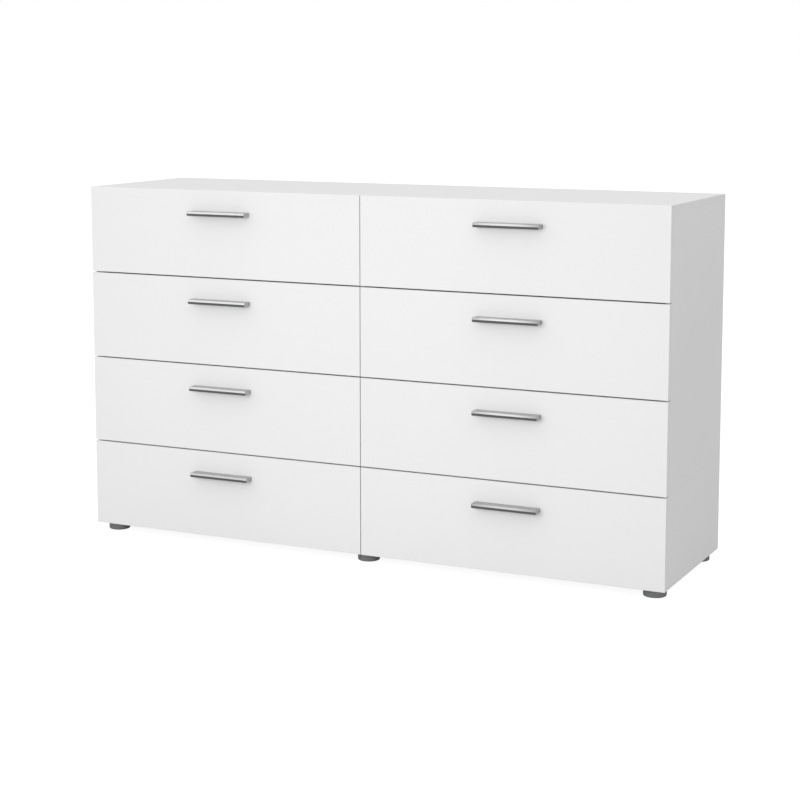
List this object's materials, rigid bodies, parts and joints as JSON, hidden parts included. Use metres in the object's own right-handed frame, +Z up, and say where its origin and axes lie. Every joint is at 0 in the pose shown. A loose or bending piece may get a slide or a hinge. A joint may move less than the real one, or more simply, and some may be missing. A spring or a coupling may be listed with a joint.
{
  "type": "dresser with drawers",
  "caption": "Wide white dresser on low round feet, with columns of full-overlay drawers on roller runners and a straight ledge handle on each drawer.",
  "frame": {"origin": "on the floor, below the middle of the overall width and depth, handles included", "axes": "+X to the right seen from the front, +Y towards the back, +Z up; the drawers open along -Y"},
  "size_m": [1.418, 0.428, 0.828],
  "materials": {
    "white_board": "satin white melamine on particleboard",
    "drawer_board": "satin white foil on particleboard and fibreboard",
    "hardboard": "brown hardboard, lacquered white on the inner face",
    "handle_metal": "brushed, satin",
    "zinc": "zinc plated",
    "runner_steel": "white epoxy coating",
    "roller_nylon": "white nylon",
    "foot_plastic": "dark grey, matte"
  },
  "bodies": {
    "carcass": {"top_panel": "white_board", "bottom_panel": "white_board", "left_side_panel": "white_board", "right_side_panel": "white_board", "centre_partition": "white_board", "left_back_sheet": "hardboard", "right_back_sheet": "hardboard", "feet": "foot_plastic", "foot_screws": "zinc", "cam_fittings": "zinc", "left_cabinet_runners": "runner_steel", "right_cabinet_runners": "runner_steel"},
    "left_drawer_1": {"left_drawer_1_front": "white_board", "left_drawer_1_box": "drawer_board", "left_drawer_1_handle": "handle_metal", "left_drawer_1_runners": "runner_steel"},
    "left_drawer_1_cabinet_rollers": {"left_drawer_1_cabinet_rollers": "roller_nylon"},
    "left_drawer_1_box_rollers": {"left_drawer_1_box_rollers": "roller_nylon"},
    "left_drawer_2": {"left_drawer_2_front": "white_board", "left_drawer_2_box": "drawer_board", "left_drawer_2_handle": "handle_metal", "left_drawer_2_runners": "runner_steel"},
    "left_drawer_2_cabinet_rollers": {"left_drawer_2_cabinet_rollers": "roller_nylon"},
    "left_drawer_2_box_rollers": {"left_drawer_2_box_rollers": "roller_nylon"},
    "left_drawer_3": {"left_drawer_3_front": "white_board", "left_drawer_3_box": "drawer_board", "left_drawer_3_handle": "handle_metal", "left_drawer_3_runners": "runner_steel"},
    "left_drawer_3_cabinet_rollers": {"left_drawer_3_cabinet_rollers": "roller_nylon"},
    "left_drawer_3_box_rollers": {"left_drawer_3_box_rollers": "roller_nylon"},
    "left_drawer_4": {"left_drawer_4_front": "white_board", "left_drawer_4_box": "drawer_board", "left_drawer_4_handle": "handle_metal", "left_drawer_4_runners": "runner_steel"},
    "left_drawer_4_cabinet_rollers": {"left_drawer_4_cabinet_rollers": "roller_nylon"},
    "left_drawer_4_box_rollers": {"left_drawer_4_box_rollers": "roller_nylon"},
    "right_drawer_1": {"right_drawer_1_front": "white_board", "right_drawer_1_box": "drawer_board", "right_drawer_1_handle": "handle_metal", "right_drawer_1_runners": "runner_steel"},
    "right_drawer_1_cabinet_rollers": {"right_drawer_1_cabinet_rollers": "roller_nylon"},
    "right_drawer_1_box_rollers": {"right_drawer_1_box_rollers": "roller_nylon"},
    "right_drawer_2": {"right_drawer_2_front": "white_board", "right_drawer_2_box": "drawer_board", "right_drawer_2_handle": "handle_metal", "right_drawer_2_runners": "runner_steel"},
    "right_drawer_2_cabinet_rollers": {"right_drawer_2_cabinet_rollers": "roller_nylon"},
    "right_drawer_2_box_rollers": {"right_drawer_2_box_rollers": "roller_nylon"},
    "right_drawer_3": {"right_drawer_3_front": "white_board", "right_drawer_3_box": "drawer_board", "right_drawer_3_handle": "handle_metal", "right_drawer_3_runners": "runner_steel"},
    "right_drawer_3_cabinet_rollers": {"right_drawer_3_cabinet_rollers": "roller_nylon"},
    "right_drawer_3_box_rollers": {"right_drawer_3_box_rollers": "roller_nylon"},
    "right_drawer_4": {"right_drawer_4_front": "white_board", "right_drawer_4_box": "drawer_board", "right_drawer_4_handle": "handle_metal", "right_drawer_4_runners": "runner_steel"},
    "right_drawer_4_cabinet_rollers": {"right_drawer_4_cabinet_rollers": "roller_nylon"},
    "right_drawer_4_box_rollers": {"right_drawer_4_box_rollers": "roller_nylon"}
  },
  "joints": [
    {"name": "left_drawer_1_slide", "type": "slide", "parent": "carcass", "child": "left_drawer_1", "axis": [0, -1, 0], "range_m": [0, 0.26]},
    {"name": "left_drawer_1_cabinet_rollers_turn", "type": "hinge", "parent": "carcass", "child": "left_drawer_1_cabinet_rollers", "pos_m": [-0.3505, -0.1545, 0.65925], "axis": [1, 0, 0], "continuous": true},
    {"name": "left_drawer_1_box_rollers_turn", "type": "hinge", "parent": "left_drawer_1", "child": "left_drawer_1_box_rollers", "pos_m": [-0.3505, 0.163, 0.65905], "axis": [1, 0, 0], "continuous": true},
    {"name": "left_drawer_2_slide", "type": "slide", "parent": "carcass", "child": "left_drawer_2", "axis": [0, -1, 0], "range_m": [0, 0.26]},
    {"name": "left_drawer_2_cabinet_rollers_turn", "type": "hinge", "parent": "carcass", "child": "left_drawer_2_cabinet_rollers", "pos_m": [-0.3505, -0.1545, 0.4565], "axis": [1, 0, 0], "continuous": true},
    {"name": "left_drawer_2_box_rollers_turn", "type": "hinge", "parent": "left_drawer_2", "child": "left_drawer_2_box_rollers", "pos_m": [-0.3505, 0.163, 0.4563], "axis": [1, 0, 0], "continuous": true},
    {"name": "left_drawer_3_slide", "type": "slide", "parent": "carcass", "child": "left_drawer_3", "axis": [0, -1, 0], "range_m": [0, 0.26]},
    {"name": "left_drawer_3_cabinet_rollers_turn", "type": "hinge", "parent": "carcass", "child": "left_drawer_3_cabinet_rollers", "pos_m": [-0.3505, -0.1545, 0.25375], "axis": [1, 0, 0], "continuous": true},
    {"name": "left_drawer_3_box_rollers_turn", "type": "hinge", "parent": "left_drawer_3", "child": "left_drawer_3_box_rollers", "pos_m": [-0.3505, 0.163, 0.25355], "axis": [1, 0, 0], "continuous": true},
    {"name": "left_drawer_4_slide", "type": "slide", "parent": "carcass", "child": "left_drawer_4", "axis": [0, -1, 0], "range_m": [0, 0.26]},
    {"name": "left_drawer_4_cabinet_rollers_turn", "type": "hinge", "parent": "carcass", "child": "left_drawer_4_cabinet_rollers", "pos_m": [-0.3505, -0.1545, 0.051], "axis": [1, 0, 0], "continuous": true},
    {"name": "left_drawer_4_box_rollers_turn", "type": "hinge", "parent": "left_drawer_4", "child": "left_drawer_4_box_rollers", "pos_m": [-0.3505, 0.163, 0.0508], "axis": [1, 0, 0], "continuous": true},
    {"name": "right_drawer_1_slide", "type": "slide", "parent": "carcass", "child": "right_drawer_1", "axis": [0, -1, 0], "range_m": [0, 0.26]},
    {"name": "right_drawer_1_cabinet_rollers_turn", "type": "hinge", "parent": "carcass", "child": "right_drawer_1_cabinet_rollers", "pos_m": [0.3505, -0.1545, 0.65925], "axis": [1, 0, 0], "continuous": true},
    {"name": "right_drawer_1_box_rollers_turn", "type": "hinge", "parent": "right_drawer_1", "child": "right_drawer_1_box_rollers", "pos_m": [0.3505, 0.163, 0.65905], "axis": [1, 0, 0], "continuous": true},
    {"name": "right_drawer_2_slide", "type": "slide", "parent": "carcass", "child": "right_drawer_2", "axis": [0, -1, 0], "range_m": [0, 0.26]},
    {"name": "right_drawer_2_cabinet_rollers_turn", "type": "hinge", "parent": "carcass", "child": "right_drawer_2_cabinet_rollers", "pos_m": [0.3505, -0.1545, 0.4565], "axis": [1, 0, 0], "continuous": true},
    {"name": "right_drawer_2_box_rollers_turn", "type": "hinge", "parent": "right_drawer_2", "child": "right_drawer_2_box_rollers", "pos_m": [0.3505, 0.163, 0.4563], "axis": [1, 0, 0], "continuous": true},
    {"name": "right_drawer_3_slide", "type": "slide", "parent": "carcass", "child": "right_drawer_3", "axis": [0, -1, 0], "range_m": [0, 0.26]},
    {"name": "right_drawer_3_cabinet_rollers_turn", "type": "hinge", "parent": "carcass", "child": "right_drawer_3_cabinet_rollers", "pos_m": [0.3505, -0.1545, 0.25375], "axis": [1, 0, 0], "continuous": true},
    {"name": "right_drawer_3_box_rollers_turn", "type": "hinge", "parent": "right_drawer_3", "child": "right_drawer_3_box_rollers", "pos_m": [0.3505, 0.163, 0.25355], "axis": [1, 0, 0], "continuous": true},
    {"name": "right_drawer_4_slide", "type": "slide", "parent": "carcass", "child": "right_drawer_4", "axis": [0, -1, 0], "range_m": [0, 0.26]},
    {"name": "right_drawer_4_cabinet_rollers_turn", "type": "hinge", "parent": "carcass", "child": "right_drawer_4_cabinet_rollers", "pos_m": [0.3505, -0.1545, 0.051], "axis": [1, 0, 0], "continuous": true},
    {"name": "right_drawer_4_box_rollers_turn", "type": "hinge", "parent": "right_drawer_4", "child": "right_drawer_4_box_rollers", "pos_m": [0.3505, 0.163, 0.0508], "axis": [1, 0, 0], "continuous": true}
  ],
  "couplings": [
    {"joint": "left_drawer_1_cabinet_rollers_turn", "follows": "left_drawer_1_slide", "rad_per_m": 95.238},
    {"joint": "left_drawer_1_box_rollers_turn", "follows": "left_drawer_1_slide", "rad_per_m": 95.238},
    {"joint": "left_drawer_2_cabinet_rollers_turn", "follows": "left_drawer_2_slide", "rad_per_m": 95.238},
    {"joint": "left_drawer_2_box_rollers_turn", "follows": "left_drawer_2_slide", "rad_per_m": 95.238},
    {"joint": "left_drawer_3_cabinet_rollers_turn", "follows": "left_drawer_3_slide", "rad_per_m": 95.238},
    {"joint": "left_drawer_3_box_rollers_turn", "follows": "left_drawer_3_slide", "rad_per_m": 95.238},
    {"joint": "left_drawer_4_cabinet_rollers_turn", "follows": "left_drawer_4_slide", "rad_per_m": 95.238},
    {"joint": "left_drawer_4_box_rollers_turn", "follows": "left_drawer_4_slide", "rad_per_m": 95.238},
    {"joint": "right_drawer_1_cabinet_rollers_turn", "follows": "right_drawer_1_slide", "rad_per_m": 95.238},
    {"joint": "right_drawer_1_box_rollers_turn", "follows": "right_drawer_1_slide", "rad_per_m": 95.238},
    {"joint": "right_drawer_2_cabinet_rollers_turn", "follows": "right_drawer_2_slide", "rad_per_m": 95.238},
    {"joint": "right_drawer_2_box_rollers_turn", "follows": "right_drawer_2_slide", "rad_per_m": 95.238},
    {"joint": "right_drawer_3_cabinet_rollers_turn", "follows": "right_drawer_3_slide", "rad_per_m": 95.238},
    {"joint": "right_drawer_3_box_rollers_turn", "follows": "right_drawer_3_slide", "rad_per_m": 95.238},
    {"joint": "right_drawer_4_cabinet_rollers_turn", "follows": "right_drawer_4_slide", "rad_per_m": 95.238},
    {"joint": "right_drawer_4_box_rollers_turn", "follows": "right_drawer_4_slide", "rad_per_m": 95.238}
  ]
}
